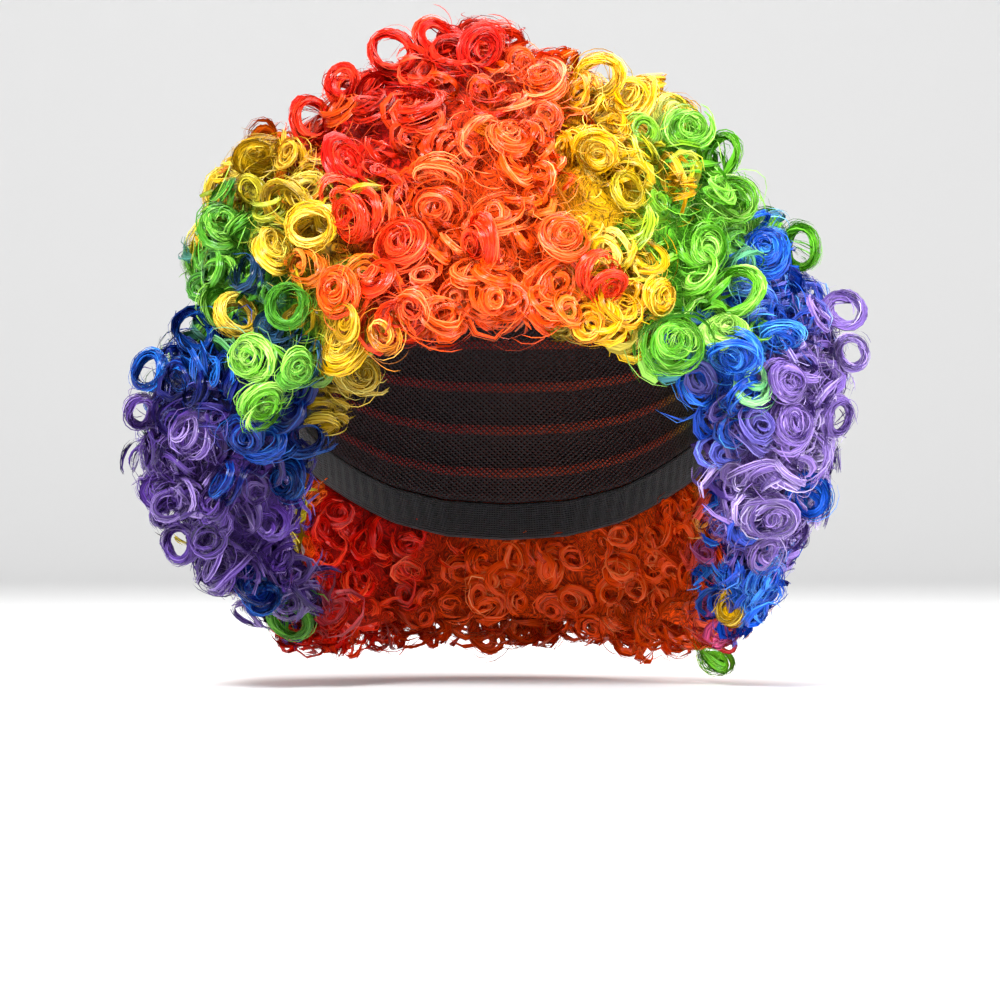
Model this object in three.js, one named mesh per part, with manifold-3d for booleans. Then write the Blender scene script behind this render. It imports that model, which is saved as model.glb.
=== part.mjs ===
// Rainbow clown wig: a fitted net cap with an elastic edge, covered all over in short round curls that
// change colour in bands round each ear. Millimetres, +Z up, the face looks along -Y.
// The origin is the inside of the cap's crown, where it sits on the top of a head.
import * as THREE from "three";
import { mergeVertices } from "three/addons/utils/BufferGeometryUtils.js";
import Module from "manifold-3d";

const wasm = await Module();
wasm.setup();

// The head that the cap fits
const HEAD_HALF_WIDTH = 78;
const HEAD_HALF_LENGTH = 96;
const CROWN_HEIGHT = 108; // crown above the level where the head is widest

// The cap and its elastic edge
const CAP_WALL = 1.4;
const CAP_DROP = 150; // crown to the cap's lowest edge, at the nape
const BAND_HEIGHT = 14;
const BAND_WALL = 2.4;
const SEAM_GAP = 0.4; // clear space between pieces that touch

// The hair
const HAIR_DEPTH = 50; // how far the curls' outline stands off the head where its share is 1
const HAIR_DROP = 188; // crown to the lowest edge of the hair
const FACE_INSET = 1.5; // the hair below the cap hangs this far outside the cap
const HEM_ROUNDING = 9; // how far the lower edge of the hair bulges downwards
const CURL_RADIUS = 14;
const CURL_LENGTH = 14; // along the curl's own axis
const CURL_INSET = 1; // the curls keep this far back from the hair's inside
const CURL_COUNT = 146; // curls that a whole ball of hair would have

// Curls differ in size and stand at a slant: the least and the most of each
const CURL_SIZES = { least: 0.82, most: 1.12 }; // shares of CURL_RADIUS
const CURL_LEANS = { least: 25, most: 80 }; // degrees between the curl's axis and straight out
const CURL_RISE = 0.3; // a curl's centre above the under-hair, as a share of its radius
const CURL_REACH = 0.85; // how far a leaning curl reaches out, as a share of an upright one

// Bands of colour, one round the next: each fills the space within an angle of a pole, seen from the
// head's centre, that the bands before it leave free. All angles in degrees, azimuths from the front.
const BANDS = [
  { side: "left", colour: "purple", azimuth: -73, elevation: -25, reach: 30 },
  { side: "left", colour: "blue", azimuth: -67, elevation: -11, reach: 33 },
  { side: "left", colour: "green", azimuth: -74, elevation: 0, reach: 40 },
  { side: "left", colour: "yellow", azimuth: -74, elevation: 2, reach: 48 },
  { side: "left", colour: "orange", azimuth: -70, elevation: 0, reach: 55 },
  { side: "right", colour: "purple", azimuth: 75, elevation: -4, reach: 26 },
  { side: "right", colour: "blue", azimuth: 78, elevation: -8, reach: 43 },
  { side: "right", colour: "green", azimuth: 76, elevation: 12, reach: 48 },
  { side: "right", colour: "yellow", azimuth: 77, elevation: 20, reach: 57 },
  { side: "right", colour: "orange", azimuth: 76, elevation: -20, reach: 105 },
];
const REST = "red_curls"; // what all the bands leave free

const COLOURS = {
  red: 0xd81f1c,
  orange: 0xf7541a,
  yellow: 0xeebb17,
  green: 0x4fb52e,
  blue: 0x1d4fb8,
  purple: 0x6f4aa8,
  net: 0x17171a,
  elastic: 0x202024,
};

// Lower edges by azimuth from the front: the cap's as a share of CAP_DROP, the hair's of HAIR_DROP
const EDGES = [
  { azimuth: 0, cap: 0.4, hair: 0.36 },
  { azimuth: 30, cap: 0.43, hair: 0.42 },
  { azimuth: 45, cap: 0.5, hair: 0.53 },
  { azimuth: 55, cap: 0.57, hair: 0.66 },
  { azimuth: 65, cap: 0.66, hair: 0.79 },
  { azimuth: 80, cap: 0.74, hair: 0.92 },
  { azimuth: 100, cap: 0.78, hair: 0.97 },
  { azimuth: 130, cap: 0.88, hair: 1 },
  { azimuth: 150, cap: 0.955, hair: 1 },
  { azimuth: 165, cap: 0.99, hair: 0.99 },
  { azimuth: 180, cap: 1, hair: 0.99 },
];

// The curls' outline seen from the front, by clock angle from the top, as a share of HAIR_DEPTH
const OUTLINE = [
  { clock: -180, depth: 0.5 },
  { clock: -135, depth: 0.6 },
  { clock: -122, depth: 0.74 },
  { clock: -114, depth: 0.98 },
  { clock: -104, depth: 1.18 },
  { clock: -83, depth: 1.26 },
  { clock: -76, depth: 1.12 },
  { clock: -68, depth: 0.93 },
  { clock: -62, depth: 1.02 },
  { clock: -50, depth: 1.14 },
  { clock: -32, depth: 0.94 },
  { clock: -17, depth: 0.98 },
  { clock: -5, depth: 0.94 },
  { clock: 3, depth: 0.72 },
  { clock: 22, depth: 0.78 },
  { clock: 50, depth: 0.88 },
  { clock: 62, depth: 0.8 },
  { clock: 71, depth: 1.08 },
  { clock: 81, depth: 1.08 },
  { clock: 97, depth: 0.92 },
  { clock: 113, depth: 0.74 },
  { clock: 140, depth: 0.6 },
  { clock: 180, depth: 0.5 },
];
const FRONT_DEPTH = 0.6; // over the forehead, as a share of HAIR_DEPTH
const BACK_DEPTH = 0.9; // at the back of the head

// A curl's cross-section, as shares of its radius and its half length: a fat ring with a hole
const CURL_SECTION = [
  { radius: 0.34, along: 0, grows: -1 },
  { radius: 0.94, along: -1, grows: 1 },
  { radius: 0.94, along: 1, grows: 1 },
];
const CURL_SIDES = 6;

// How finely the surfaces are faceted
const COLUMNS = 24; // round the head
const ROWS = 5; // from the crown to the cap's edge
const CONE_SIDES = 16; // round the edge of a band of colour
const SHORTEST_EDGE = 0.1;
const FAR = 400; // beyond everything

const radians = THREE.MathUtils.degToRad;
const degrees = THREE.MathUtils.radToDeg;
const CENTRE = new THREE.Vector3(0, 0, -CROWN_HEIGHT);

// The value of a column of a table at a place between its rows
function lookUp(table, key, column, at) {
  const next = Math.max(1, table.findIndex((row) => row[key] >= at));
  const [a, b] = [table[next - 1], table[next]];
  const share = (at - a[key]) / (b[key] - a[key]);
  return THREE.MathUtils.lerp(a[column], b[column], THREE.MathUtils.clamp(share, 0, 1));
}

// The direction at an azimuth from the front, towards +X, and a polar angle from the top, in radians
function direction(azimuth, polar) {
  return new THREE.Vector3(
    Math.sin(azimuth) * Math.sin(polar),
    -Math.cos(azimuth) * Math.sin(polar),
    Math.cos(polar),
  );
}

const azimuthOf = (d) => Math.atan2(d.x, -d.y);

const capDrop = (azimuth) => CAP_DROP * lookUp(EDGES, "azimuth", "cap", Math.abs(degrees(azimuth)));
const hairDrop = (azimuth) => HAIR_DROP * lookUp(EDGES, "azimuth", "hair", Math.abs(degrees(azimuth)));

// From the head's centre to its surface
function headRadius(d) {
  return 1 / Math.hypot(d.x / HEAD_HALF_WIDTH, d.y / HEAD_HALF_LENGTH, d.z / CROWN_HEIGHT);
}

// From the head's centre to the curls' outline
function outlineRadius(d) {
  const clock = degrees(Math.atan2(d.x, d.z));
  const level = lookUp(OUTLINE, "clock", "depth", clock);
  const facing = d.y < 0 ? FRONT_DEPTH : BACK_DEPTH;
  return headRadius(d) + HAIR_DEPTH * THREE.MathUtils.lerp(level, facing, d.y * d.y);
}

const underHairRadius = (d) => outlineRadius(d) - CURL_RADIUS * (1 + CURL_RISE) * CURL_REACH;

// A point at a distance from the head's centre
const pointAt = (d, radius) => d.clone().multiplyScalar(radius).add(CENTRE);

// The polar angle at which a surface, given as a radius for each direction, comes down to a drop
function polarAtDrop(azimuth, radiusOf, drop) {
  let [low, high] = [0, Math.PI * 0.9];
  for (let step = 0; step < 40; step++) {
    const middle = (low + high) / 2;
    const d = direction(azimuth, middle);
    if (-pointAt(d, radiusOf(d)).z < drop) low = middle;
    else high = middle;
  }
  return low;
}

// Polar angles down the cap from the crown to the top of the elastic edge
function capRows(azimuth) {
  const end = polarAtDrop(azimuth, headRadius, capDrop(azimuth) - BAND_HEIGHT);
  return Array.from({ length: ROWS + 1 }, (_, row) => (end * row) / ROWS);
}

// Polar angles of the elastic edge's top and bottom, just below the cap
function bandRows(azimuth) {
  const bottom = polarAtDrop(azimuth, headRadius, capDrop(azimuth));
  return [capRows(azimuth).pop() + SEAM_GAP / HEAD_HALF_WIDTH, bottom];
}

// Points at polar angles, on the head's surface moved out by an offset
function meridian(azimuth, rows, offset) {
  return rows.map((polar) => {
    const d = direction(azimuth, polar);
    return pointAt(d, headRadius(d) + offset);
  });
}

// A closed surface through one profile for each column, each four-cornered patch split along its
// shorter diagonal. A dome's profile starts and ends at a pole, and a hoop's closes on itself.
function sweepRound(profileAt, kind) {
  const profiles = Array.from({ length: COLUMNS }, (_, column) =>
    profileAt(-Math.PI + (2 * Math.PI * (column + 0.5)) / COLUMNS),
  );
  const size = profiles[0].length;
  const spans = kind === "hoop" ? size : size - 1;
  const corners = [];
  profiles.forEach((here, column) => {
    const there = profiles[(column + 1) % COLUMNS];
    for (let row = 0; row < spans; row++) {
      const below = (row + 1) % size;
      const [a, b, c, d] = [here[row], there[row], there[below], here[below]];
      if (kind === "dome" && row === 0) corners.push(a, c, d);
      else if (kind === "dome" && row === spans - 1) corners.push(a, b, c);
      else if (b.distanceTo(d) < a.distanceTo(c)) corners.push(a, b, d, b, c, d);
      else corners.push(a, b, c, a, c, d);
    }
  });
  return new THREE.BufferGeometry().setFromPoints(corners);
}

// A closed geometry as a manifold-3d solid
function solidOf(geometry) {
  const bare = geometry.index ? geometry.toNonIndexed() : geometry.clone();
  bare.deleteAttribute("normal");
  bare.deleteAttribute("uv");
  const merged = mergeVertices(bare, 1e-3);
  const mesh = new wasm.Mesh({
    numProp: 3,
    vertProperties: new Float32Array(merged.attributes.position.array),
    triVerts: new Uint32Array(merged.index.array),
  });
  return new wasm.Manifold(mesh);
}

// A solid's largest body as a geometry, with edges too short to matter closed up
function geometryOf(solid) {
  const bodies = solid.decompose().sort((a, b) => b.volume() - a.volume());
  const { numProp, vertProperties, triVerts } = bodies[0].getMesh();
  const points = Array.from({ length: vertProperties.length / numProp }, (_, n) =>
    new THREE.Vector3().fromArray(vertProperties, n * numProp),
  );
  const joinedTo = points.map((_, n) => n);
  const rootOf = (n) => (joinedTo[n] === n ? n : rootOf(joinedTo[n]));
  const triangles = Array.from({ length: triVerts.length / 3 }, (_, n) => triVerts.slice(3 * n, 3 * n + 3));
  for (const [a, b, c] of triangles)
    for (const [from, to] of [[a, b], [b, c], [c, a]])
      if (points[from].distanceTo(points[to]) < SHORTEST_EDGE) joinedTo[rootOf(from)] = rootOf(to);
  const whole = triangles.map((corners) => Array.from(corners, rootOf));
  const kept = whole.filter((corners) => new Set(corners).size === 3);
  const geometry = new THREE.BufferGeometry().setFromPoints(kept.flat().map((n) => points[n]));
  geometry.computeVertexNormals();
  return geometry;
}

// A wall of some thickness on the head, between the first and the last of the rows
function wallGeometry(rowsAt, wall, kind) {
  const profileAt = (azimuth) => {
    const rows = rowsAt(azimuth);
    return [...meridian(azimuth, rows, 0), ...meridian(azimuth, rows, wall).reverse()];
  };
  return sweepRound(profileAt, kind);
}

// The line that the hair's inside follows: just outside the cap and its elastic edge, and then down the face
function hairInside(azimuth, clearance) {
  const rows = [...capRows(azimuth), bandRows(azimuth).pop()];
  const line = meridian(azimuth, rows, Math.max(CAP_WALL, BAND_WALL) + clearance);
  const bottom = line[line.length - 1].clone().addScaledVector(direction(azimuth, Math.PI / 2), FACE_INSET);
  bottom.z = Math.min(bottom.z - SEAM_GAP, -hairDrop(azimuth));
  return [...line, bottom];
}

// The under-hair: the thick layer that all the curls stand on, hanging below the cap at the sides and back
function underHair() {
  const profileAt = (azimuth) => {
    const inside = hairInside(azimuth, SEAM_GAP);
    const bottom = inside[inside.length - 1];
    const end = polarAtDrop(azimuth, underHairRadius, -bottom.z);
    const outside = Array.from({ length: ROWS + 2 }, (_, row) => {
      const d = direction(azimuth, (end * (ROWS + 1 - row)) / (ROWS + 1));
      return pointAt(d, underHairRadius(d));
    });
    const hem = bottom.clone().lerp(outside[0], 0.5);
    hem.z -= HEM_ROUNDING;
    return [...inside, hem, ...outside];
  };
  return solidOf(sweepRound(profileAt, "dome"));
}

// The space inside the hair, a little larger, which is kept free of curls
function headSpace() {
  const profileAt = (azimuth) => {
    const line = hairInside(azimuth, SEAM_GAP + CURL_INSET);
    const { x, y } = line[line.length - 1];
    return [...line, new THREE.Vector3(x, y, -FAR), new THREE.Vector3(0, 0, -FAR)].reverse();
  };
  return solidOf(sweepRound(profileAt, "dome"));
}

// A turn that takes +Y to a direction
const turnTo = (axis) => new THREE.Quaternion().setFromUnitVectors(new THREE.Vector3(0, 1, 0), axis);

const nameOf = ({ side, colour }) => `${colour}_curls_${side}`;
const poleOf = ({ azimuth, elevation }) => direction(radians(azimuth), radians(90 - elevation));

// Everything within a band's reach, with its surface moved out by an angle
function reachSolid(band, extra) {
  const arc = [1, 0.8, 0.6, 0.4, 0.2, 0].map((share) => radians(band.reach + extra) * share);
  const profile = [
    new THREE.Vector2(0, 0),
    ...arc.map((angle) => new THREE.Vector2(FAR * Math.sin(angle), FAR * Math.cos(angle))),
  ];
  const cone = new THREE.LatheGeometry(profile, CONE_SIDES);
  cone.applyQuaternion(turnTo(poleOf(band))).translate(CENTRE.x, CENTRE.y, CENTRE.z);
  return solidOf(cone);
}

// The name of the band that a direction lies in
function bandOf(d) {
  const found = BANDS.find((band) => degrees(d.angleTo(poleOf(band))) < band.reach);
  return found ? nameOf(found) : REST;
}

// The under-hair cut into the bands of colour, by name
function cutIntoBands(whole) {
  const bands = new Map();
  const seam = degrees(SEAM_GAP / HEAD_HALF_WIDTH);
  let free = whole;
  for (const band of BANDS) {
    bands.set(nameOf(band), free.intersect(reachSolid(band, 0)));
    free = free.subtract(reachSolid(band, seam));
  }
  return bands.set(REST, free);
}

// A number between a range's least and most that scatters with a whole number, in one of several ways
function scatter(n, way, { least, most }) {
  const share = Math.abs(Math.sin((n + 1) * 12.9898 + way * 78.233) * 43758.5453) % 1;
  return THREE.MathUtils.lerp(least, most, share);
}

// Where the curls stand: spread evenly over the hair, each with its size and the lean of its axis
function curlPlaces() {
  const golden = Math.PI * (3 - Math.sqrt(5));
  const places = [];
  for (let n = 0; n < CURL_COUNT; n++) {
    const d = direction(golden * n, Math.acos(1 - (2 * n + 1) / CURL_COUNT));
    const radius = CURL_RADIUS * scatter(n, 1, CURL_SIZES);
    const centre = pointAt(d, underHairRadius(d) + radius * CURL_RISE);
    if (-centre.z > hairDrop(azimuthOf(d)) + radius * CURL_RISE) continue;
    const lean = radians(scatter(n, 2, CURL_LEANS));
    const around = scatter(n, 3, { least: 0, most: 2 * Math.PI });
    const sideways = new THREE.Vector3(0, 0, 1).cross(d).normalize().applyAxisAngle(d, around);
    const axis = d.clone().applyAxisAngle(sideways, lean);
    places.push({ centre, radius, axis, band: bandOf(d) });
  }
  return places;
}

// One curl as a fat ring, grown all round by a clearance
function curlSolid({ centre, radius, axis }, clearance) {
  const profile = CURL_SECTION.map(({ radius: share, along, grows }) => {
    const out = share * radius + grows * clearance;
    return new THREE.Vector2(out, along * (CURL_LENGTH / 2 + clearance));
  });
  const ring = new THREE.LatheGeometry([...profile, profile[0]], CURL_SIDES);
  ring.applyQuaternion(turnTo(axis)).translate(centre.x, centre.y, centre.z);
  return solidOf(ring);
}

// Each band's under-hair with its own curls, cut clear of the curls of the other bands
function hairGeometries() {
  const bands = cutIntoBands(underHair());
  const places = curlPlaces();
  const names = [...bands.keys()];
  const own = (name) => places.filter((place) => place.band === name);
  const joined = (list, clearance) => wasm.Manifold.union(list.map((p) => curlSolid(p, clearance)));
  const grown = new Map(names.map((name) => [name, joined(own(name), SEAM_GAP)]));
  const heads = headSpace();
  const found = new Map();
  names.forEach((name, order) => {
    const cutters = (list) => wasm.Manifold.union(list.map((other) => grown.get(other)));
    const before = names.slice(0, order);
    const after = names.slice(order + 1);
    let hair = bands.get(name);
    if (after.length) hair = hair.subtract(cutters(after));
    hair = hair.add(joined(own(name), 0).subtract(heads));
    if (before.length) hair = hair.subtract(cutters(before));
    found.set(name, geometryOf(hair));
  });
  return found;
}

function named(name, geometry, colour, roughness) {
  const material = new THREE.MeshStandardMaterial({ color: colour, roughness, metalness: 0 });
  const mesh = new THREE.Mesh(geometry, material);
  mesh.name = name;
  return mesh;
}

const wig = new THREE.Group();
wig.add(named("net_cap", wallGeometry(capRows, CAP_WALL, "dome"), COLOURS.net, 0.8));
wig.add(named("elastic_edge", wallGeometry(bandRows, BAND_WALL, "hoop"), COLOURS.elastic, 0.85));
for (const [name, geometry] of hairGeometries())
  wig.add(named(name, geometry, COLOURS[name.split("_")[0]], 0.4));

export default wig;
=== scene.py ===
"""Rainbow clown wig: glossy curls in bands of colour over a fitted net cap with an elastic edge.

Metres, +Z up, the face looks along -Y, and the origin is the inside of the cap's crown. A curl is a few
nested ribbons of hair with single fibres along them. Looser fibres run between the curls, and a closed
lumpy wall of under-hair lies below them.
"""

import math
from collections import namedtuple

import bmesh
import bpy
import numpy as np
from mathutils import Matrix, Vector


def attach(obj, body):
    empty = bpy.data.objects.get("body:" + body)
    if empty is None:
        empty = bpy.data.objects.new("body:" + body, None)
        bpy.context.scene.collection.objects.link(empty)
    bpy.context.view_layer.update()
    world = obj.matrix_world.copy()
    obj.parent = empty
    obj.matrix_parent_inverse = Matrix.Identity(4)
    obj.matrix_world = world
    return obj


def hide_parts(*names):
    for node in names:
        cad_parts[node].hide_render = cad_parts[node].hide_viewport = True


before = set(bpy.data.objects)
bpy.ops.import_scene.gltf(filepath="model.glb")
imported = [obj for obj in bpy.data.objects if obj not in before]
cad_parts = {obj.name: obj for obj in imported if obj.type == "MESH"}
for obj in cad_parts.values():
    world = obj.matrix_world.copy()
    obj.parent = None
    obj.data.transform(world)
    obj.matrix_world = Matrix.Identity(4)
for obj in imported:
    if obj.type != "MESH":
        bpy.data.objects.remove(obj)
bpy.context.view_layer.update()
rng = np.random.default_rng(11)
uniform, normal = rng.uniform, rng.normal

# The head and the cap, as in the solid model
HEAD = np.array([0.078, 0.096, 0.108])  # half width, half length, crown above the widest level
CENTRE = np.array([0, 0, -HEAD[2]])
CAP_WALL = 0.0014
CAP_DROP = 0.150
BAND_HEIGHT = 0.014
BAND_WALL = 0.0024
SEAM_GAP = 0.0004

# The hair's outline, as in the solid model
HAIR_DEPTH = 0.050
HAIR_DROP = 0.188
FACE_INSET = 0.0015
FRONT_DEPTH = 0.6  # a share of HAIR_DEPTH, as the next one
BACK_DEPTH = 0.9

# Lower edges by azimuth from the front in degrees, as shares of CAP_DROP and HAIR_DROP
EDGES = {
    "azimuth": [0, 30, 45, 55, 65, 80, 100, 130, 150, 165, 180],
    "cap": [0.4, 0.43, 0.5, 0.57, 0.66, 0.74, 0.78, 0.88, 0.955, 0.99, 1],
    "hair": [0.36, 0.42, 0.53, 0.66, 0.79, 0.92, 0.97, 1, 1, 0.99, 0.99],
}

# The outline seen from the front by clock angle from the top in degrees, as shares of HAIR_DEPTH
OUTLINE = {
    "clock": [-180, -135, -122, -114, -104, -83, -76, -68, -62, -50, -32, -17, -5,
              3, 22, 50, 62, 71, 81, 97, 113, 140, 180],
    "depth": [0.5, 0.6, 0.74, 0.98, 1.18, 1.26, 1.12, 0.93, 1.02, 1.14, 0.94, 0.98, 0.94,
              0.72, 0.78, 0.88, 0.8, 1.08, 1.08, 0.92, 0.74, 0.6, 0.5],
}

# Bands of colour as in the solid model. Each lies within its reach of a pole, over the bands that follow.
# Angles are in degrees. Shown is a key of SHADES, and over the angle blend it turns into the next colour.
Band = namedtuple("Band", "side colour azimuth elevation reach shown blend")
BANDS = [
    Band("left", "purple", -73, -25, 30, "violet", 9),
    Band("left", "blue", -67, -11, 33, "navy", 6),
    Band("left", "green", -74, 0, 40, "leaf", 8),
    Band("left", "yellow", -74, 2, 48, "gold", 10),
    Band("left", "orange", -70, 0, 55, "flame", 10),
    Band("right", "purple", 75, -4, 26, "lilac", 10),
    Band("right", "blue", 78, -8, 43, "blue", 8),
    Band("right", "green", 76, 12, 48, "green", 8),
    Band("right", "yellow", 77, 20, 57, "yellow", 12),
    Band("right", "orange", 76, -20, 105, "orange", 26),
]
REST = "red_curls"

# Deep, middle and light shade of each colour of hair
SHADES = {
    "red": ("#920404", "#de1406", "#ff4e28"),
    "flame": ("#a81002", "#ee2c04", "#ff6a32"),
    "orange": ("#cc3400", "#ff5406", "#ff9a5c"),
    "yellow": ("#b87e02", "#f6bc06", "#fff27c"),
    "gold": ("#86680a", "#cfa412", "#f8e460"),
    "green": ("#2e841c", "#70c62a", "#caf47c"),
    "leaf": ("#276a1a", "#5aa82a", "#b0e860"),
    "blue": ("#08207c", "#1858d4", "#58b8ff"),
    "navy": ("#03042c", "#0a1c72", "#2278e0"),
    "violet": ("#1f1046", "#523488", "#ac94d2"),
    "lilac": ("#4a3288", "#8e70c2", "#d8caf0"),
}

# Where the camera stands, straight in front of the face
EYE = np.array([-0.0026, -1.6, -0.135])

# Curls that stand out at the front: colour, where each shows in the plane of the origin, radius and
# length, in millimetres, and 1 for a swirl or 0 for an open loop
Standout = namedtuple("Standout", "shown x z radius length fill")
STANDOUTS = [
    ("yellow", -62, -77, 9, 6, 1), ("yellow", -58, -88, 9, 5, 1), ("gold", -71, -99, 5, 20, 0),
    ("gold", -65, -101, 4.5, 16, 0), ("green", -96, -82, 9, 8, 1), ("green", -94, -98, 9, 9, 1),
    ("gold", -102, -66, 7.4, 2, 0), ("leaf", -83, -62, 7, 3, 0), ("orange", -63, -58, 9, 6, 1),
    ("navy", -83, -127, 8, 5, 1), ("green", 80, -6, 7.5, 3, 0), ("gold", -88, -42, 9, 6, 1),
    ("yellow", -74, -32, 8, 5, 0), ("gold", -94, -8, 8, 6, 1), ("leaf", -108, -32, 9, 7, 1),
    ("leaf", -109, -62, 8.5, 6, 1), ("red", -27, 38, 6.5, 2, 0), ("red", -43, 33, 8, 3, 0),
    ("red", -62, 21, 5.5, 3, 0), ("red", -74, 8, 7.5, 3, 0), ("red", -10, 36, 9.5, 6, 1),
    ("flame", -57, -29, 10, 6, 1), ("red", -62, -8, 9, 6, 1), ("flame", -40, -39, 10, 6, 1),
    ("orange", 1, 1, 8.2, 4, 1), ("orange", -25, -11, 8.8, 3, 1), ("flame", -10, -38, 8, 4, 1),
    ("orange", 14, 22, 9, 6, 1), ("orange", 21, -36, 8.5, 5, 1), ("flame", 36, -52, 9.5, 6, 1),
    ("yellow", 34, -3, 8.8, 4, 1), ("yellow", 35, 24, 8, 2, 0), ("yellow", 50, 16, 9, 5, 1),
    ("gold", 22, -68, 8, 5, 1), ("yellow", 57, -59, 6.5, 4, 1), ("green", 67, 5, 9.5, 6, 1),
    ("green", 86, -22, 8, 3, 0), ("blue", 98, -41, 8, 7, 1), ("green", 108, -42, 7.5, 2, 0),
    ("green", 65, -76, 12, 12, 1), ("green", 75, -39, 9, 6, 1), ("green", 83, -72, 8, 6, 1),
    ("green", 87, -57, 9, 3, 0), ("blue", 104, -72, 8.5, 5, 1), ("blue", 88, -80, 9, 6, 1),
    ("lilac", 105, -91, 8.5, 5, 1), ("lilac", 107, -107, 9, 5, 1), ("lilac", 127, -64, 7, 3, 0),
    ("lilac", 129, -80, 5.5, 3, 0), ("lilac", 124, -104, 6.5, 3, 0), ("blue", 115, -134, 8.5, 5, 1),
    ("lilac", 99, -142, 9, 6, 1), ("navy", -117, -72, 7.5, 3, 0), ("navy", -134, -87, 6.5, 4, 0),
    ("violet", -137, -102, 5.5, 3, 0), ("blue", -92, -114, 7, 3, 0), ("navy", -77, -112, 7, 4, 0),
    ("violet", -123, -152, 6.5, 3, 0), ("navy", -95, -168, 8, 5, 1), ("leaf", -82, -180, 8, 3, 0),
    ("navy", -92, -172, 6, 3, 0), ("leaf", -79, -86, 7, 6, 1), ("yellow", 84, -176, 5.5, 3, 0),
    ("green", 76, -193, 7, 5, 1), ("blue", 97, -164, 7.5, 4, 1),
]

# Curls, their radii and lengths in metres
CORKSCREW = 2.3  # a curl over this many radii long is a corkscrew
CORKSCREW_SHARE = 0.08
CORKSCREW_LENGTH = (0.014, 0.021)
CURL_LENGTH = (0.004, 0.011)
CURL_RADII = {0.0062: 0.32, 0.0078: 0.42, 0.0096: 0.26}  # of the outer curls, and the share of each
BELT = 0.35  # half the width of the outline's belt, where loops face forwards, as a share of the reach
ROOM = 0.62  # left round a curl that stands out, as a share of its radius and its neighbour's
SIGHT_STEP = 0.0005  # along a line of sight

TURN = 2 * math.pi
GOLDEN = math.pi * (3 - math.sqrt(5))


def linear(code):
    """An sRGB hex colour as linear red, green and blue."""
    share = np.array([int(code[i : i + 2], 16) for i in (1, 3, 5)]) / 255
    return np.where(share <= 0.04045, share / 12.92, ((share + 0.055) / 1.055) ** 2.4)


def size_of(v):
    return np.linalg.norm(v, axis=-1)


def unit(v):
    return v / size_of(v)[..., None]


def running(steps):
    """The way run from the start of each row to each point, from the steps between them."""
    return np.concatenate([0 * steps[..., :1], np.cumsum(steps, axis=-1)], axis=-1)


def smooth(x):
    x = np.clip(x, 0, 1)
    return x * x * (3 - 2 * x)


def direction(azimuth, polar):
    """The direction at an azimuth from the front, towards +X, and a polar angle from the top."""
    azimuth, polar = np.broadcast_arrays(azimuth, polar)
    level = np.sin(polar)
    return np.stack([np.sin(azimuth) * level, -np.cos(azimuth) * level, np.cos(polar)], -1)


def azimuth_of(d):
    return np.arctan2(d[..., 0], -d[..., 1])


def column_azimuths(columns):
    return -math.pi + TURN * np.arange(columns) / columns


def from_centre(points):
    """The direction of each point from the head's centre, and how far away it is."""
    way = points - CENTRE
    return unit(way), size_of(way)


def head_radius(d):
    return 1 / size_of(d / HEAD)


def outline_radius(d):
    clock = np.degrees(np.arctan2(d[..., 0], d[..., 2]))
    level = np.interp(clock, OUTLINE["clock"], OUTLINE["depth"])
    facing = np.where(d[..., 1] < 0, FRONT_DEPTH, BACK_DEPTH)
    return head_radius(d) + HAIR_DEPTH * (level + (facing - level) * d[..., 1] ** 2)


def below_outline(points):
    d, reach = from_centre(points)
    return outline_radius(d) - reach


def cap_drop(azimuth):
    return CAP_DROP * np.interp(np.abs(np.degrees(azimuth)), EDGES["azimuth"], EDGES["cap"])


def hair_drop(azimuth):
    return HAIR_DROP * np.interp(np.abs(np.degrees(azimuth)), EDGES["azimuth"], EDGES["hair"])


def polar_at(azimuth, radius_of, drop):
    """The polar angle where a surface comes down to a drop below the crown, by halving."""
    low = np.zeros_like(azimuth)
    high = np.full_like(azimuth, 0.85 * math.pi)
    for _ in range(30):
        middle = (low + high) / 2
        d = direction(azimuth, middle)
        above = -(CENTRE[2] + d[..., 2] * radius_of(d)) < drop
        low = np.where(above, middle, low)
        high = np.where(above, high, middle)
    return low


def inside_radius(d):
    """From the head's centre to the inside of the hair: round the cap, and below it straight down."""
    azimuth = azimuth_of(d)
    polar = np.arccos(np.clip(d[..., 2], -1, 1))
    edge = polar_at(azimuth, head_radius, cap_drop(azimuth))
    lift = BAND_WALL + SEAM_GAP
    wall = (head_radius(direction(azimuth, edge)) + lift) * np.sin(edge) + FACE_INSET
    return np.where(polar < edge, head_radius(d) + lift, wall / np.maximum(np.sin(polar), 0.3))


def pole_of(band):
    return direction(math.radians(band.azimuth), math.radians(90 - band.elevation))


def names_of(d):
    """The CAD node whose band each direction lies in."""
    found = np.full(d.shape[:-1], REST, dtype=object)
    for band in reversed(BANDS):
        near = d @ pole_of(band) > math.cos(math.radians(band.reach))
        found[near] = f"{band.colour}_curls_{band.side}"
    return found


def shades_of(shown, shade):
    """One colour of hair, from deep at shade 0 to light at 1."""
    ramp = np.array([linear(code) for code in SHADES[shown]])
    return np.stack([np.interp(shade, (0, 0.5, 1), ramp[:, c]) for c in range(3)], -1)


def colours_of(d, shade):
    """The hair's colour in each direction, with the bands of colour blended."""
    found = shades_of("red", shade)
    for band in reversed(BANDS):
        angle = np.degrees(np.arccos(np.clip(d @ pole_of(band), -1, 1)))
        weight = smooth((band.reach - angle) / band.blend + 0.5)[..., None]
        found = found * (1 - weight) + shades_of(band.shown, shade) * weight
    return found


def spread(count, jitter):
    """Directions spread evenly over a ball, each moved a little at random."""
    n = np.arange(count)
    d = direction(GOLDEN * n, np.arccos(1 - (2 * n + 1) / count))
    return unit(d + normal(0, jitter, d.shape))


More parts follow.
